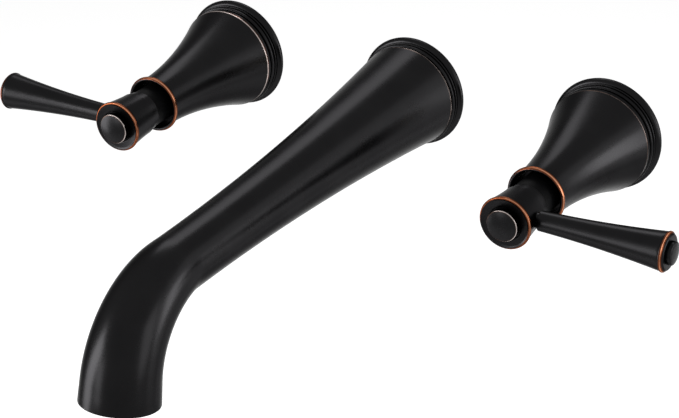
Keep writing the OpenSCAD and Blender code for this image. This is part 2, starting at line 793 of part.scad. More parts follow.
hot_side() bell();  // hot_bell
hot_side() wall_flange();  // hot_flange
hot_side() wall_gasket();  // hot_gasket
hot_side() mounting_sleeve();  // hot_mounting_sleeve
hot_side() guide_bush();  // hot_guide_bush
hot_side() valve_body();  // hot_valve_body
hot_side() cartridge_body();  // hot_cartridge_body
hot_side() body_o_ring();  // hot_body_o_ring
hot_side() seat_seal();  // hot_seat_seal
hot_side() fixed_disc();  // hot_fixed_disc
hot_side() turning_disc();  // hot_turning_disc
hot_side() spindle();  // hot_spindle
hot_side() spindle_o_ring();  // hot_spindle_o_ring
hot_side() stem_extension();  // hot_stem_extension
hot_side() glide_bush();  // hot_glide_bush
hot_side() hub();  // hot_hub
hot_side() handle_screw();  // hot_handle_screw
hot_side() index_button();  // hot_index_button
hot_side() lever();  // hot_lever
hot_side() lever_button();  // hot_lever_button

cold_side() bell();  // cold_bell
cold_side() wall_flange();  // cold_flange
cold_side() wall_gasket();  // cold_gasket
cold_side() mounting_sleeve();  // cold_mounting_sleeve
cold_side() guide_bush();  // cold_guide_bush
cold_side() valve_body();  // cold_valve_body
cold_side() cartridge_body();  // cold_cartridge_body
cold_side() body_o_ring();  // cold_body_o_ring
cold_side() seat_seal();  // cold_seat_seal
cold_side() fixed_disc();  // cold_fixed_disc
cold_side() turning_disc();  // cold_turning_disc
cold_side() spindle();  // cold_spindle
cold_side() spindle_o_ring();  // cold_spindle_o_ring
cold_side() stem_extension();  // cold_stem_extension
cold_side() glide_bush();  // cold_glide_bush
cold_side() hub();  // cold_hub
cold_side() handle_screw();  // cold_handle_screw
cold_side() index_button();  // cold_index_button
cold_side() lever();  // cold_lever
cold_side() lever_button();  // cold_lever_button
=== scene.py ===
import json
import math

import bpy
from mathutils import Matrix, Quaternion, Vector


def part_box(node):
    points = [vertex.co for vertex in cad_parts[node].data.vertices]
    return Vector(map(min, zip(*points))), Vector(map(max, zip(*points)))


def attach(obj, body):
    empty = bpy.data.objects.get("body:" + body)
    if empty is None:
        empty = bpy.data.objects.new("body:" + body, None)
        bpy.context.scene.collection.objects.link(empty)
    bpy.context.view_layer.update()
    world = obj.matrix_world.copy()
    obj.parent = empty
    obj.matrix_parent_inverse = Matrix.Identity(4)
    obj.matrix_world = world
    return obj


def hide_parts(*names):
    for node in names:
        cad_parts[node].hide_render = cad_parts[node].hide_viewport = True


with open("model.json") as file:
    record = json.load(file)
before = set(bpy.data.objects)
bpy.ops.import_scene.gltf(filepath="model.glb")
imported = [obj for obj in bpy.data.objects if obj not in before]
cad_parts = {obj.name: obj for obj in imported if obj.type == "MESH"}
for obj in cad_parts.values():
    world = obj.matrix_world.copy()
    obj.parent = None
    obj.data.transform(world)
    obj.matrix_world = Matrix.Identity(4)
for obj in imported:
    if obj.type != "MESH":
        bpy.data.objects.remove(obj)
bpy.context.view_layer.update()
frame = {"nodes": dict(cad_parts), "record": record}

MM = 0.001
SIDES = 144         # faces round a turned piece
LEVER_SIDES = 96
TOOL_SIDES = 64     # faces round a cutting tool
MERGE = 2e-6        # points nearer than this, in metres, are sewn into one
LAMP_DISTANCE = 1.5

# The three trim groups stand side by side on the wall. A height is measured out of the wall
# (towards -Y) and a radius from the group's own axis, both in millimetres.
handle_offset = 0.5 * (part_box("cold_bell")[0][0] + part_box("cold_bell")[1][0]) / MM
flange_height = -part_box("spout_flange")[0][1] / MM
bell_front = -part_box("cold_bell")[0][1] / MM


# ---------- bench tools ----------

def put_down():
    """Leaves edit mode with nothing picked."""
    if bpy.context.object and bpy.context.object.mode != "OBJECT":
        bpy.ops.object.mode_set(mode="OBJECT")
    bpy.ops.object.select_all(action="DESELECT")


def pick(piece):
    put_down()
    piece.select_set(True)
    bpy.context.view_layer.objects.active = piece


def edit(piece):
    pick(piece)
    bpy.ops.object.mode_set(mode="EDIT")
    bpy.ops.mesh.select_all(action="SELECT")


def arc(centre, radius, start, end, steps):
    """Points of a rounded edge, from one angle to another, as (radius, height)."""
    points = []
    for i in range(steps + 1):
        a = math.radians(start + (end - start) * i / steps)
        points.append((centre[0] + radius * math.cos(a), centre[1] + radius * math.sin(a)))
    return points


def trumpet(wide, low, narrow, high, flare, steps, outward=0.0):
    """Outline of a flared cone that is wide at the bottom, moved outward by a wall's thickness."""
    points = []
    for i in range(steps + 1):
        t = i / steps
        radius = narrow + (wide - narrow) * (1 - t) ** flare + outward
        points.append((radius, low + (high - low) * t))
    return points


def sew(angle=32):
    """Merges doubles, turns the faces outwards and smooths the edges flatter than an angle."""
    bpy.ops.mesh.select_all(action="SELECT")
    bpy.ops.mesh.remove_doubles(threshold=MERGE)
    bpy.ops.mesh.normals_make_consistent(inside=False)
    bpy.ops.object.mode_set(mode="OBJECT")
    bpy.ops.object.shade_smooth_by_angle(angle=math.radians(angle))


def turned(name, outline, axis="Y", sides=SIDES):
    """Turns an outline on the lathe. Axis Y stands out of the wall, axis X runs along a lever."""
    put_down()
    bpy.ops.mesh.primitive_plane_add(size=2 * MM, location=(0, 0, 0))
    piece = bpy.context.object
    piece.name = name
    piece.data.name = name
    edit(piece)
    bpy.ops.mesh.merge(type="CENTER")

    def place(point):
        r, h = point[0] * MM, point[1] * MM
        return Vector((r, -h, 0)) if axis == "Y" else Vector((h, 0, r))

    bpy.ops.transform.translate(value=place(outline[0]))
    for before, after in zip(outline, outline[1:]):
        step = place(after) - place(before)
        bpy.ops.mesh.extrude_region_move(TRANSFORM_OT_translate={"value": step})
    bpy.ops.mesh.select_all(action="SELECT")
    bpy.ops.mesh.spin(steps=sides, angle=2 * math.pi, center=(0, 0, 0),
                      axis=(0, 1, 0) if axis == "Y" else (1, 0, 0))
    sew()
    return piece


def shift(piece, x=0.0, out=0.0, up=0.0):
    """Moves a piece's own points, so its object stays at the origin."""
    edit(piece)
    bpy.ops.transform.translate(value=(x * MM, -out * MM, up * MM))
    put_down()


def copy_of(piece, name):
    pick(piece)
    bpy.ops.object.duplicate(linked=False)
    copy = bpy.context.object
    copy.name = name
    copy.data.name = name
    return copy


def turned_over(piece, name):
    """Mirror image of a piece across the plane between the two handles."""
    copy = copy_of(piece, name)
    edit(copy)
    bpy.ops.transform.mirror(constraint_axis=(True, False, False), orient_type="GLOBAL",
                             center_override=(0, 0, 0))
    bpy.ops.mesh.normals_make_consistent(inside=False)
    put_down()
    return copy


def cut(piece, tool):
    """Cuts one piece with another, which is used up."""
    pick(piece)
    bpy.ops.object.modifier_add(type="BOOLEAN")
    step = piece.modifiers[-1]
    step.operation = "DIFFERENCE"
    step.solver = "EXACT"
    step.object = tool
    bpy.ops.object.modifier_apply(modifier=step.name)
    pick(tool)
    bpy.ops.object.delete()
    edit(piece)
    sew()
    put_down()


def cylinder(name, radius, length, centre, turn):
    """A cutting tool, turned by angles in degrees."""
    put_down()
    bpy.ops.mesh.primitive_cylinder_add(vertices=TOOL_SIDES, radius=radius * MM, depth=length * MM,
                                        location=[c * MM for c in centre],
                                        rotation=[math.radians(a) for a in turn])
    piece = bpy.context.object
    piece.name = name
    bpy.ops.object.transform_apply(location=True, rotation=True, scale=True)
    return piece


def drawn_out(name, rings):
    """A skin drawn out ring by ring. A ring is (out, up, tilt, radius), and the last one joins
    the first."""
    put_down()
    out, up, tilt, radius = rings[0]
    bpy.ops.mesh.primitive_circle_add(vertices=SIDES, radius=radius * MM,
                                      location=(0, -out * MM, up * MM),
                                      rotation=(math.radians(90 + tilt), 0, 0))
    piece = bpy.context.object
    piece.name = name
    piece.data.name = name
    bpy.ops.object.transform_apply(location=True, rotation=True, scale=True)
    edit(piece)
    for before, after in zip(rings, rings[1:]):
        middle = (0, -after[0] * MM, after[1] * MM)
        bpy.ops.mesh.extrude_region_move(TRANSFORM_OT_translate={
            "value": (0, (before[0] - after[0]) * MM, (after[1] - before[1]) * MM)})
        if after[2] != before[2]:
            bpy.ops.transform.rotate(value=-math.radians(after[2] - before[2]), orient_axis="X",
                                     center_override=middle)
        if after[3] != before[3]:
            k = after[3] / before[3]
            bpy.ops.transform.resize(value=(k, k, k), center_override=middle)
    sew()
    put_down()
    return piece


def mark_wear_and_highlight(piece, wear_and_highlight, axis="Y", kind="wear"):
    """Writes how strongly each point is marked, from rings of real wear or of painted highlight
    given as (radius, height, reach, depth). Two more numbers make a ring uneven: the side where
    the mark is strongest, in degrees, and how much less the far side is."""
    mark = piece.data.attributes.new(kind, "FLOAT", "POINT")
    values = []
    for v in piece.data.vertices:
        x, y, z = v.co / MM
        height, across = (-y, x) if axis == "Y" else (x, -y)
        radius, side = math.hypot(across, z), math.atan2(z, across)
        value = 0.0
        for ring_r, ring_h, reach, depth, *uneven in wear_and_highlight:
            most, less = uneven or (0.0, 0.0)
            here = depth * (1 - less * 0.5 * (1 - math.cos(side - math.radians(most))))
            value = max(value, here * (1 - math.hypot(radius - ring_r, height - ring_h) / reach))
        values.append(value)
    mark.data.foreach_set("value", values)


# ---------- finishes ----------

def group_of(name, inputs, outputs):
    """An empty shader node group with its sockets."""
    group = bpy.data.node_groups.new(name, "ShaderNodeTree")
    for label, kind, value in inputs:
        socket = group.interface.new_socket(label, in_out="INPUT", socket_type=kind)
        socket.default_value = value
    for label, kind in outputs:
        group.interface.new_socket(label, in_out="OUTPUT", socket_type=kind)
    return group, group.nodes.new("NodeGroupInput"), group.nodes.new("NodeGroupOutput")


def node(tree, kind, **settings):
    made = tree.nodes.new(kind)
    for key, value in settings.items():
        setattr(made, key, value)
    return made


def feed(tree, socket, value):
    """Links a socket, or sets it to a number or a colour."""
    if isinstance(value, bpy.types.NodeSocket):
        tree.links.new(value, socket)
    elif isinstance(value, tuple):
        socket.default_value = (*value, 1.0)
    else:
        socket.default_value = value


def noise(tree, vector, scale, detail, roughness=0.5):
    made = node(tree, "ShaderNodeTexNoise")
    made.inputs["Detail"].default_value = detail
    made.inputs["Roughness"].default_value = roughness
    tree.links.new(vector, made.inputs["Vector"])
    tree.links.new(scale, made.inputs["Scale"])
    return made.outputs["Fac"]


def math_node(tree, operation, a, b):
    made = node(tree, "ShaderNodeMath", operation=operation)
    feed(tree, made.inputs[0], a)
    feed(tree, made.inputs[1], b)
    return made.outputs[0]


def ranged(tree, value, low, high, to_low=0.0, to_high=1.0, smooth=False):
    made = node(tree, "ShaderNodeMapRange",
                interpolation_type="SMOOTHSTEP" if smooth else "LINEAR")
    feed(tree, made.inputs["Value"], value)
    feed(tree, made.inputs["From Min"], low)
    feed(tree, made.inputs["From Max"], high)
    feed(tree, made.inputs["To Min"], to_low)
    feed(tree, made.inputs["To Max"], to_high)
    return made.outputs["Result"]


def mixed(tree, factor, a, b):
    """Two colours mixed."""
    made = node(tree, "ShaderNodeMix", data_type="RGBA")
    colours = [socket for socket in made.inputs if socket.type == "RGBA"]
    feed(tree, made.inputs["Factor"], factor)
    feed(tree, colours[0], a)
    feed(tree, colours[1], b)
    return [socket for socket in made.outputs if socket.type == "RGBA"][0]


def make_wear_and_highlight_edge():
    """Mask of an edge rubbed through to the copper below, or of a painted highlight line, from a
    point's mark.
    """
    group, start, end = group_of("wear_and_highlight_edge", [
        ("Wear_or_highlight", "NodeSocketFloat", 0.0), ("Scale", "NodeSocketFloat", 400.0),
        ("Patchiness", "NodeSocketFloat", 0.3), ("Edge", "NodeSocketFloat", 0.5),
        ("Softness", "NodeSocketFloat", 0.1)], [("Mask", "NodeSocketFloat")])
    where = node(group, "ShaderNodeTexCoord").outputs["Object"]
    patches = noise(group, where, start.outputs["Scale"], 3.0)
    patches = math_node(group, "SUBTRACT", patches, 0.5)
    patches = math_node(group, "MULTIPLY", patches, start.outputs["Patchiness"])
    wear = math_node(group, "ADD", start.outputs["Wear_or_highlight"], patches)
    low = math_node(group, "SUBTRACT", start.outputs["Edge"], start.outputs["Softness"])
    high = math_node(group, "ADD", start.outputs["Edge"], start.outputs["Softness"])
    mask = ranged(group, wear, low, high, smooth=True)
    # No patch shows where there is no wear or painted highlight at all.
    rubbed = math_node(group, "GREATER_THAN", start.outputs["Wear_or_highlight"], 0.001)
    group.links.new(math_node(group, "MULTIPLY", mask, rubbed), end.inputs["Mask"])
    return group


def make_surface_grain():
    """Fine unevenness of a surface: a height for its bump and a broad cloud for its tone."""
    group, start, end = group_of("surface_grain", [
        ("Fine", "NodeSocketFloat", 1500.0), ("Broad", "NodeSocketFloat", 60.0),
        ("Stretch", "NodeSocketVector", (1.0, 1.0, 1.0))],
        [("Height", "NodeSocketFloat"), ("Cloud", "NodeSocketFloat")])
    where = node(group, "ShaderNodeTexCoord").outputs["Object"]
    stretched = node(group, "ShaderNodeVectorMath", operation="MULTIPLY")
    group.links.new(where, stretched.inputs[0])
    group.links.new(start.outputs["Stretch"], stretched.inputs[1])
    fine = noise(group, stretched.outputs[0], start.outputs["Fine"], 2.0)
    cloud = noise(group, where, start.outputs["Broad"], 4.0, 0.6)
    group.links.new(fine, end.inputs["Height"])
    group.links.new(ranged(group, cloud, 0.3, 0.7), end.inputs["Cloud"])
    return group


wear_and_highlight_edge = make_wear_and_highlight_edge()
surface_grain = make_surface_grain()


def finish(name, dark, light, rough, metallic=0.0, level=0.5, tint=(1, 1, 1), fine=1500.0,
           broad=60.0, bump=0.05, depth=0.02, stretch=(1, 1, 1), wear_and_highlight=(), wear_and_highlight_rough=0.3,
           patchy=0.3):
    """A finish: two tones in clouds, a rough range and a fine bump. Worn edges and painted
    highlight lines show other tones, each given as (kind of mark, colour, depth at which it
    starts, softness)."""
    material = bpy.data.materials.new(name)
    material.use_nodes = True
    tree = material.node_tree
    shader = tree.nodes["Principled BSDF"]
    shader.inputs["Metallic"].default_value = metallic
    shader.inputs["Specular IOR Level"].default_value = level
    shader.inputs["Specular Tint"].default_value = (*tint, 1.0)
    grain = node(tree, "ShaderNodeGroup", node_tree=surface_grain)
    grain.inputs["Fine"].default_value = fine
    grain.inputs["Broad"].default_value = broad
    grain.inputs["Stretch"].default_value = stretch
    colour = mixed(tree, grain.outputs["Cloud"], dark, light)
    roughness = ranged(tree, grain.outputs["Cloud"], 0.0, 1.0, rough[0], rough[1])
    for kind, tone, edge, soft in wear_and_highlight:
        wear = node(tree, "ShaderNodeAttribute", attribute_name=kind, attribute_type="GEOMETRY")
        edge_mark = node(tree, "ShaderNodeGroup", node_tree=wear_and_highlight_edge)
        edge_mark.inputs["Patchiness"].default_value = patchy
        edge_mark.inputs["Edge"].default_value = edge
        edge_mark.inputs["Softness"].default_value = soft
        tree.links.new(wear.outputs["Fac"], edge_mark.inputs["Wear_or_highlight"])
        colour = mixed(tree, edge_mark.outputs["Mask"], colour, tone)
        roughness = ranged(tree, edge_mark.outputs["Mask"], 0.0, 1.0, roughness, wear_and_highlight_rough)
    tree.links.new(colour, shader.inputs["Base Color"])
    tree.links.new(roughness, shader.inputs["Roughness"])
    lift = node(tree, "ShaderNodeBump")
    lift.inputs["Strength"].default_value = bump
    lift.inputs["Distance"].default_value = depth * MM
    tree.links.new(grain.outputs["Height"], lift.inputs["Height"])
    tree.links.new(lift.outputs["Normal"], shader.inputs["Normal"])
    return material


# Under the dark coat, an edge is rubbed first to brown and then to bright copper. A painted
# highlight on a sharp edge goes through brown to a pale line.
brown_copper = (0.10, 0.028, 0.011)
bright_copper = (0.44, 0.20, 0.115)
# Tones of the painted highlight lines on sharp edges: brownish at their sides, pale in the middle.
painted_highlight_brown = (0.028, 0.017, 0.013)
painted_highlight_pale = (0.36, 0.32, 0.305)
oiled_bronze = finish("oiled_bronze", (0.0103, 0.0101, 0.0106), (0.0124, 0.0122, 0.0127),
                      (0.25, 0.30), metallic=1.0, tint=(0.48, 0.48, 0.48), fine=1300.0,
                      broad=45.0, bump=0.12, depth=0.03, wear_and_highlight_rough=0.26, patchy=0.35,
                      wear_and_highlight=(("wear", brown_copper, 0.30, 0.14),
                            ("wear", bright_copper, 0.86, 0.16),
                            ("painted_highlight", painted_highlight_brown, 0.3, 0.15),
                            ("painted_highlight", painted_highlight_pale, 0.75, 0.2)))
bare_brass = finish("bare_brass", (0.62, 0.44, 0.17), (0.74, 0.55, 0.24), (0.26, 0.4),
                    metallic=1.0, fine=900.0, broad=120.0, bump=0.2, stretch=(1, 6, 1))
steel = finish("steel", (0.52, 0.52, 0.53), (0.62, 0.62, 0.63), (0.25, 0.38), metallic=1.0,
               fine=1200.0, broad=150.0, bump=0.15)
# Black nylon made nearly black and without shine: the real black bush, darkened further as painted
# shade deep in the bell mouth.
black_nylon = finish("black_nylon", (0.0015, 0.0015, 0.0016), (0.0025, 0.0025, 0.0028), (0.5, 0.6),
                     level=0.02, fine=2500.0, broad=200.0, bump=0.2)
black_rubber = finish("black_rubber", (0.016, 0.016, 0.016), (0.024, 0.024, 0.024), (0.65, 0.8),
                      level=0.3, fine=2000.0, broad=200.0, bump=0.3)
ceramic = finish("ceramic", (0.80, 0.78, 0.73), (0.86, 0.84, 0.80), (0.15, 0.22), fine=2500.0,
                 broad=150.0, bump=0.05)
foam_rubber = finish("foam_rubber", (0.05, 0.05, 0.052), (0.09, 0.09, 0.092), (0.85, 0.95),
                     level=0.2, fine=1400.0, broad=300.0, bump=0.9, depth=0.3)

FINISHES = {"oiled_bronze": oiled_bronze, "bare_brass": bare_brass, "steel": steel,
            "black_nylon": black_nylon, "black_rubber": black_rubber, "ceramic": ceramic,
            "foam_rubber": foam_rubber}


def dress(piece, slot_name, stands_for, body="root"):
    """Gives a piece its finish, its body and the node that it stands for."""
    piece.data.materials.clear()
    piece.data.materials.append(FINISHES[slot_name])
    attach(piece, body)
    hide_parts(stands_for)


# ---------- wall flanges ----------

spigot_r = 22.4
spigot_seat = flange_height - 2.8
flange_bore_r = 20.5
foot_r = 23.8
foot_recess = 1.2
bead = 2.2
thin_ring = 0.45
front_ring = 0.7
front_ring_centre_r = 24.7

flange_outline = (
    [(flange_bore_r, foot_recess), (foot_r, foot_recess), (foot_r, 0.0)]
    + arc((25.0, bead), bead, -90, 78, 22)
    + [(24.5, 4.5), (24.5, 4.9)]
    + arc((25.2, 5.4), thin_ring, -100, 100, 12)
    + [(24.4, 5.95), (24.4, 6.35)]
    + arc((front_ring_centre_r, 7.05), front_ring, -90, 0, 8)
    + arc((front_ring_centre_r, 7.6), front_ring, 0, 90, 8)
    + [(24.0, 8.4), (24.0, 8.9), (23.4, flange_height), (spigot_r, flange_height),
       (spigot_r, spigot_seat), (flange_bore_r, spigot_seat), (flange_bore_r, foot_recess)]
)

flange = turned("spout_flange_piece", flange_outline)
# Painted highlight: a pale line along the front ring, strongest on its upper side.
mark_wear_and_highlight(flange, [(25.38, 7.35, 0.22, 0.9, 65, 0.85)], kind="painted_highlight")
hot_flange = copy_of(flange, "hot_flange_piece")
cold_flange = copy_of(flange, "cold_flange_piece")
shift(hot_flange, -handle_offset)
shift(cold_flange, handle_offset)
dress(flange, "oiled_bronze", "spout_flange")
dress(hot_flange, "oiled_bronze", "hot_flange")
dress(cold_flange, "oiled_bronze", "cold_flange")


# ---------- bells ----------

# The bells and the spout start inside their flanges, a little clear of the spigot hole.
skirt_start = 6.3
skirt_r = 22.3

root_r = 25.9
band_r = 24.75
band_round = 0.3
arris = 11.7
arris_round = 0.25
neck_r = 12.3
lip_r = 13.75
lip_w = 2.6
lip_start = bell_front - lip_w
mouth_floor = bell_front - 7.0
bush_r = 10.5
bell_bore_r = 20.8
bell_wall = 2.0
fine_part = 1.6     # the flare's first stretch past the arris, with closer points


def bell_flare(steps, outward=0.0):
    """Outline of the bell from its root to its lip."""
    return trumpet(root_r, 9.0, neck_r, lip_start, 1.85, steps, outward)


bell_outline = (
    [(bell_bore_r, skirt_start), (skirt_r, skirt_start), (skirt_r, 9.02)]
    + arc((band_r - band_round, 9.32), band_round, -90, 0, 6)
    + [(band_r, arris - 1.2), (band_r, arris - 0.7), (band_r, arris - 0.45)]
    + arc((band_r - arris_round, arris - arris_round), arris_round, 0, 70, 6)
    + [p for p in bell_flare(224) if arris < p[1] < arris + fine_part]
    + [p for p in bell_flare(56) if p[1] > arris + fine_part]
    + arc((lip_r - lip_w / 2, bell_front - lip_w / 2), lip_w / 2, -60, 80, 18)
    + [(12.25, bell_front - 0.16), (11.9, bell_front - 0.55), (11.6, bell_front - 1.3),
       (11.35, bell_front - 2.6), (10.9, mouth_floor), (bush_r, mouth_floor),
       (bush_r, mouth_floor - 13.0)]
    + [p for p in reversed(bell_flare(28, -bell_wall)) if 12 < p[1] < 53]
    + [(bell_bore_r, 10.0), (bell_bore_r, skirt_start)]
)

cold_bell = turned("cold_bell_piece", bell_outline)
hot_bell = copy_of(cold_bell, "hot_bell_piece")
# The lip's copper is real wear, made strongest on its upper-right side as painted highlight.
lip_ring = (lip_r - 0.2, bell_front - 0.6, 1.05, 1.15, 45, 0.66)
mark_wear_and_highlight(cold_bell, [lip_ring])
# Painted highlight: a pale line on the arris at the bell's root.
mark_wear_and_highlight(cold_bell, [(band_r - 0.1, arris - 0.05, 0.5, 0.85)], kind="painted_highlight")
# The hot bell also gets copper on its arris, strongest towards the upper right: wear and painted
# highlight.
mark_wear_and_highlight(hot_bell, [lip_ring, (band_r - 0.1, arris - 0.3, 1.1, 0.52, 30, 0.4)])
mark_wear_and_highlight(hot_bell, [(band_r - 0.1, arris - 0.05, 0.62, 1.6)], kind="painted_highlight")
shift(cold_bell, handle_offset)
shift(hot_bell, -handle_offset)
dress(cold_bell, "oiled_bronze", "cold_bell")
dress(hot_bell, "oiled_bronze", "hot_bell")


# ---------- handle hubs, with their buttons ----------

hub_front = -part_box("cold_hub")[0][1] / MM
hub_rear = hub_front - 16.2
collar_rear = hub_rear - 4.4
stem_end = hub_front - 10.0
stem_r = 4.9
button_seat = hub_front - 0.9
pocket = stem_end + 3.6
pocket_r = 5.0
screw_hole_r = 2.0
lever_height = 93.9
waist_r = 10.5
body_growth = 1.35
body_len = 14.4
body_steps = 32

body_curve = []
for i in range(body_steps + 1):
    t = i / body_steps
    body_curve.append((waist_r + body_growth * t ** 1.4, hub_rear + 0.3 + body_len * t))
hub_outline = (
    [(6.0, collar_rear), (9.2, collar_rear)]
    + arc((9.2, collar_rear + 0.5), 0.5, -80, 0, 6)
    + [(9.7, hub_rear - 0.3), (10.2, hub_rear)]
    + body_curve
    + arc((11.45, hub_front - 0.75), 0.75, -30, 105, 14)
    + [(10.8, hub_front - 0.3), (10.5, hub_front - 0.42), (8.1, hub_front - 0.05),
       (7.8, hub_front - 0.15), (7.6, hub_front - 0.4), (7.55, button_seat),
       (pocket_r, button_seat), (pocket_r, pocket), (screw_hole_r, pocket),
       (screw_hole_r, stem_end), (stem_r, stem_end), (stem_r, collar_rear + 1.5),
       (6.0, collar_rear + 1.5), (6.0, collar_rear)]
)

cold_hub = turned("cold_hub_piece", hub_outline)
cut(cold_hub, cylinder("lever_seat", 3.7, 4.0, (12.5, -lever_height, 0), (0, 90, 0)))
hot_hub = turned_over(cold_hub, "hot_hub_piece")
for made in (cold_hub, hot_hub):
    # Copper wear on the hub's rim, made strongest on its upper-right side as painted highlight.
    mark_wear_and_highlight(made, [(11.85, hub_front - 0.25, 0.9, 1.15, 45, 0.76)])
shift(cold_hub, handle_offset)
shift(hot_hub, -handle_offset)
dress(cold_hub, "oiled_bronze", "cold_hub", "cold_handle")
dress(hot_hub, "oiled_bronze", "hot_hub", "hot_handle")

crown = button_seat + 4.6
button_r = 7.2
plug_r = 4.95
dome_height = 0.9
dome_edge_r = 6.85
dome_steps = 12
dome_r = (button_r ** 2 + dome_height ** 2) / (2 * dome_height)
dome_span = math.asin(dome_edge_r / dome_r)

dome = []
for i in range(dome_steps + 1):
    a = dome_span * (1 - i / dome_steps)
    dome.append((dome_r * math.sin(a), crown - dome_r * (1 - math.cos(a))))
button_outline = (
    [(0.0, button_seat - 2.5), (plug_r, button_seat - 2.5), (plug_r, button_seat),
     (7.1, button_seat), (button_r, button_seat + 0.2), (button_r, crown - 1.25)]
    + arc((6.9, crown - 1.12), 0.3, 0, 70, 5)
    + dome
)

cold_button = turned("cold_button_piece", button_outline)
# Painted highlight: a pale line round the button's edge, strongest on its right side.
mark_wear_and_highlight(cold_button, [(7.1, crown - 0.95, 0.4, 1.6, 20, 0.75)], kind="painted_highlight")
hot_button = copy_of(cold_button, "hot_button_piece")
shift(cold_button, handle_offset)
shift(hot_button, -handle_offset)
dress(cold_button, "oiled_bronze", "cold_index_button", "cold_handle")
dress(hot_button, "oiled_bronze", "hot_index_button", "hot_handle")


# ---------- levers, with their caps ----------

lever_len = 69.6
tip_face = lever_len + 1.7
shoulder = 0.7
arm_start = 12.3
arm_r = 4.35
arm_growth = 4.45
arm_steps = 48
pin_hole_r = 2.6
pin_r = 2.57

arm = []
for i in range(arm_steps + 1):
    h = arm_start + (lever_len - shoulder - arm_start) * i / arm_steps
    arm.append((arm_r + arm_growth * (h / lever_len) ** 1.95 - 0.15 * i / arm_steps, h))
lever_outline = (
    [(0.0, 6.3), (2.9, 6.3), (2.9, 10.5), (3.4, 10.5), (3.4, 11.7), (4.2, 12.05)]
    + arm
    + arc((8.2, lever_len), shoulder, -60, 65, 12)
    + arc((7.2, tip_face - 0.9), 0.9, 30, 90, 8)
    + [(4.5, tip_face), (pin_hole_r, tip_face), (pin_hole_r, tip_face - 6), (0.0, tip_face - 6)]
)

cap_top = tip_face + 2.0
cap_outline = (
    [(0.0, tip_face - 5), (pin_r, tip_face - 5), (pin_r, tip_face), (5.05, tip_face),
     (5.15, tip_face + 0.15)]
    + arc((4.65, cap_top - 0.5), 0.5, 0, 80, 8)
    + [(3.0, cap_top + 0.07), (1.5, cap_top + 0.13), (0.0, cap_top + 0.15)]
)

cold_lever = turned("cold_lever_piece", lever_outline, axis="X", sides=LEVER_SIDES)
mark_wear_and_highlight(cold_lever, [(8.65, lever_len + 0.55, 0.9, 1.0)], axis="X")
cold_cap = turned("cold_lever_cap", cap_outline, axis="X", sides=LEVER_SIDES)
for made in (cold_lever, cold_cap):
    shift(made, out=lever_height)
hot_lever = turned_over(cold_lever, "hot_lever_piece")
hot_cap = turned_over(cold_cap, "hot_lever_cap")
for made in (cold_lever, cold_cap):
    shift(made, handle_offset)
for made in (hot_lever, hot_cap):
    shift(made, -handle_offset)
dress(cold_lever, "oiled_bronze", "cold_lever", "cold_handle")
dress(hot_lever, "oiled_bronze", "hot_lever", "hot_handle")
dress(cold_cap, "oiled_bronze", "cold_lever_button", "cold_handle")
dress(hot_cap, "oiled_bronze", "hot_lever_button", "hot_handle")


# ---------- spout ----------

spout_root_r = 24.8
root_round = 0.35
tube_len = 190.8
tube_r = 13.2
tube_flare = 1.97
bend_r = 43.0
bend_angle = 77.5
tail = 9.4
bend_start = flange_height + tube_len
bend_length = bend_r * math.radians(bend_angle)
end = bend_length + tail
outlet_r = 17.2
outlet_round = 0.6
aerator_r = 12.1
aerator_depth = 12.0
waterway_r = 9.5
bend_steps = 48
bore_steps = 16
socket_end = 38.5
socket_r = 12.9
socket_wall_r = 15.1


def straight(points):
    """Rings of the spout's straight part, from (radius, height)."""
    return [(height, 0, 0, radius) for radius, height in points]


def tube(steps):
    """Outline of the straight tube, flared towards the wall."""
    return trumpet(spout_root_r, flange_height, tube_r, bend_start, tube_flare, steps)


def along(s, radius):
    """Ring of the spout at a distance past the start of its bend."""
    a = math.radians(bend_angle) * min(s / bend_length, 1)
    past = max(s - bend_length, 0)
    return (bend_start + bend_r * math.sin(a) + past * math.cos(a),
            -bend_r * (1 - math.cos(a)) - past * math.sin(a), math.degrees(a), radius)


def neck(s):
    """Radius of the spout past the start of its bend, growing gently towards the mouth."""
    u = s / end
    grown = (math.hypot(u, 0.06) - 0.06) / (math.hypot(1, 0.06) - 0.06)
    return tube_r + (outlet_r - tube_r) * grown ** 0.75


# Outside: skirt, rounded root, straight tube (with closer rings next to the root), bend, tail
# and rounded outlet.
rings = straight([(skirt_r, skirt_start), (skirt_r, flange_height + 0.02)])
rings += straight(arc((spout_root_r - root_round, 9.37), root_round, -90, 0, 6))
rings += straight(tube(720)[3:10:2])
rings += straight(tube(60)[1:])
for i in range(1, bend_steps + 1):
    s = bend_length * i / bend_steps
    rings += [along(s, neck(s))]
rings += [along(bend_length + 3.0, neck(bend_length + 3.0))]
for angle in range(0, 91, 15):
    a = math.radians(angle)
    rings += [along(end - outlet_round + outlet_round * math.sin(a),
                    neck(end - outlet_round) - outlet_round + outlet_round * math.cos(a))]
# Inside: the aerator's seat, the waterway, the adapter's socket and the open pocket round it.
rings += [along(end, 12.5), along(end - 0.4, aerator_r), along(end - aerator_depth, aerator_r),
          along(end - aerator_depth, waterway_r)]
rings += [along(bend_length * i / bore_steps, waterway_r) for i in range(bore_steps, -1, -1)]
rings += straight([
    (waterway_r, socket_end), (socket_r, socket_end), (socket_r, skirt_start),
    (socket_wall_r, skirt_start), (socket_wall_r, 32.0), (17.0, 32.0), (19.2, 20.0),
    (20.4, 9.0), (20.4, skirt_start), (skirt_r, skirt_start)])

spout = drawn_out("spout_piece", rings)
# Painted highlight: a pale line round the spout's rounded root.
mark_wear_and_highlight(spout, [(24.75, 9.3, 0.36, 1.05)], kind="painted_highlight")
dress(spout, "oiled_bronze", "spout_tube")


# ---------- inner parts: the solids themselves, with the finish of their slot ----------

# Round inner parts that show in the mouths and from behind get a smooth copy.
SHOWN_ON_HANDLE = ["guide_bush", "glide_bush", "mounting_sleeve", "valve_body", "gasket"]
SHOWN_ON_SPOUT = ["spout_gasket", "spout_adapter", "aerator_housing", "aerator_straightener",
                  "aerator_screen", "aerator_washer"]


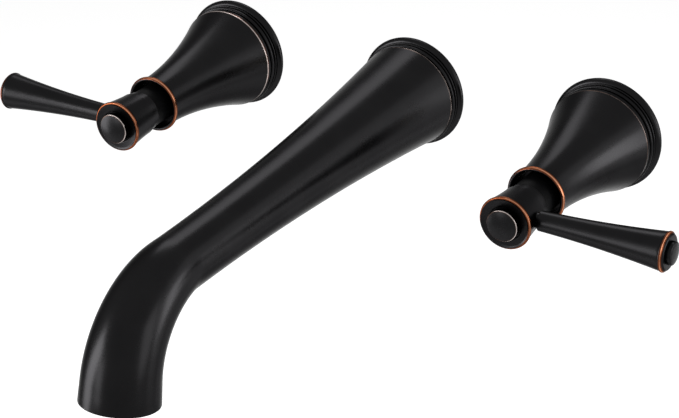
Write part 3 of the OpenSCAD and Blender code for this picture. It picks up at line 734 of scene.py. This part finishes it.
def slot_of(name):
    rows = frame["record"]["subparts"]
    return [row["material_slot"] for row in rows if row["node"] == name][0]


def smoothed(name):
    """A sewn copy of a solid with smooth round faces, standing for it."""
    copy = bpy.data.objects.new(name + "_piece", frame["nodes"][name].data.copy())
    bpy.context.collection.objects.link(copy)
    for other in list(copy.data.attributes):
        if other.name == "custom_normal":
            copy.data.attributes.remove(other)
    edit(copy)
    sew(40)
    put_down()
    bodies = frame["record"]["behaviour"]["bodies"]
    body = [key for key, held in bodies.items() if name in held][0]
    dress(copy, slot_of(name), name, body)


for name in SHOWN_ON_SPOUT:
    smoothed(name)
for side in ("hot", "cold"):
    for part in SHOWN_ON_HANDLE:
        smoothed(side + "_" + part)
for name, solid in frame["nodes"].items():
    solid.data.materials.clear()
    solid.data.materials.append(FINISHES[slot_of(name)])


# ---------- room and camera ----------

CAMERA_PLACE = (0.46473, -0.81887, 0.41901)
CAMERA_AZIMUTH = 31.886
CAMERA_ELEVATION = 27.161
CAMERA_ROLL = -1.490
LENS = 113.32


def put_camera():
    azimuth, elevation = math.radians(CAMERA_AZIMUTH), math.radians(CAMERA_ELEVATION)
    roll = math.radians(CAMERA_ROLL)
    ahead = Vector((-math.sin(azimuth) * math.cos(elevation),
                    math.cos(azimuth) * math.cos(elevation), -math.sin(elevation)))
    right = Vector((math.cos(azimuth), math.sin(azimuth), 0))
    above = right.cross(ahead)
    side = right * math.cos(roll) + above * math.sin(roll)
    top = above * math.cos(roll) - right * math.sin(roll)
    data = bpy.data.cameras.new("camera")
    data.lens = LENS
    data.sensor_width = 36.0
    data.clip_start = 0.05
    data.clip_end = 50.0
    camera = bpy.data.objects.new("camera", data)
    bpy.context.collection.objects.link(camera)
    camera.matrix_world = Matrix(((side.x, top.x, -ahead.x, CAMERA_PLACE[0]),
                                  (side.y, top.y, -ahead.y, CAMERA_PLACE[1]),
                                  (side.z, top.z, -ahead.z, CAMERA_PLACE[2]),
                                  (0, 0, 0, 1)))
    bpy.context.scene.camera = camera


def softbox(name, azimuth, elevation, width, height, brightness, lean=0.0):
    """A soft lamp round the faucet. Azimuth 0 is straight out of the wall, 90 to the right."""
    a, e = math.radians(azimuth), math.radians(elevation)
    towards = Vector((math.sin(a) * math.cos(e), -math.cos(a) * math.cos(e), math.sin(e)))
    data = bpy.data.lights.new(name, "AREA")
    data.shape = "RECTANGLE"
    data.size = width
    data.size_y = height
    data.energy = brightness * math.pi * width * height
    lamp = bpy.data.objects.new(name, data)
    bpy.context.collection.objects.link(lamp)
    lamp.location = Vector((0, -0.1, 0)) + towards * LAMP_DISTANCE
    turn = towards.to_track_quat("Z", "Y") @ Quaternion((0, 0, 1), math.radians(lean))
    lamp.rotation_euler = turn.to_euler()
    lamp.visible_camera = False


def seen_directly(tree):
    """1 where the camera sees a surface, itself or in a reflection, and 0 where it only lights."""
    path = node(tree, "ShaderNodeLightPath")
    seen = math_node(tree, "MAXIMUM", path.outputs["Is Camera Ray"],
                     path.outputs["Is Glossy Ray"])
    return math_node(tree, "MAXIMUM", seen, path.outputs["Is Transmission Ray"])


def pale_room():
    """White all round where it shows, dimmer as a lamp, and a pale floor that keeps shadows."""
    world = bpy.data.worlds.new("room")
    bpy.context.scene.world = world
    world.use_nodes = True
    tree = world.node_tree
    tree.nodes.clear()
    light = node(tree, "ShaderNodeBackground")
    light.inputs["Color"].default_value = (1, 1, 1, 1)
    tree.links.new(ranged(tree, seen_directly(tree), 0.0, 1.0, 0.35, 1.0),
                   light.inputs["Strength"])
    out = node(tree, "ShaderNodeOutputWorld")
    tree.links.new(light.outputs[0], out.inputs["Surface"])

    put_down()
    bpy.ops.mesh.primitive_plane_add(size=16.0, location=(0, 0, -0.9))
    floor = bpy.context.object
    floor.name = "floor"
    bpy.ops.object.transform_apply(location=True)
    paint = bpy.data.materials.new("floor_paint")
    paint.use_nodes = True
    tree = paint.node_tree
    shader = tree.nodes["Principled BSDF"]
    shader.inputs["Base Color"].default_value = (0.85, 0.85, 0.85, 1)
    shader.inputs["Roughness"].default_value = 0.9
    shader.inputs["Specular IOR Level"].default_value = 0.0
    shader.inputs["Emission Color"].default_value = (1, 1, 1, 1)
    tree.links.new(ranged(tree, seen_directly(tree), 0.0, 1.0, 0.0, 0.6),
                   shader.inputs["Emission Strength"])
    floor.data.materials.append(paint)


bpy.context.scene.view_settings.view_transform = "Standard"
put_camera()
pale_room()
softbox("left_key", -53, -1, 0.58, 1.5, 13.6, lean=-24)
softbox("front_fill", -26, 2, 0.45, 0.6, 5.5)
softbox("right_back", 118, 1, 0.46, 0.64, 9.9)
softbox("right_soft", 126, 2, 1.2, 1.6, 1.3)
softbox("right_side", 85, 8, 0.6, 0.9, 3.2)
softbox("left_back", -150, 42, 0.7, 0.55, 7.2)
softbox("low_back", 160, -28, 0.8, 0.5, 2.6)
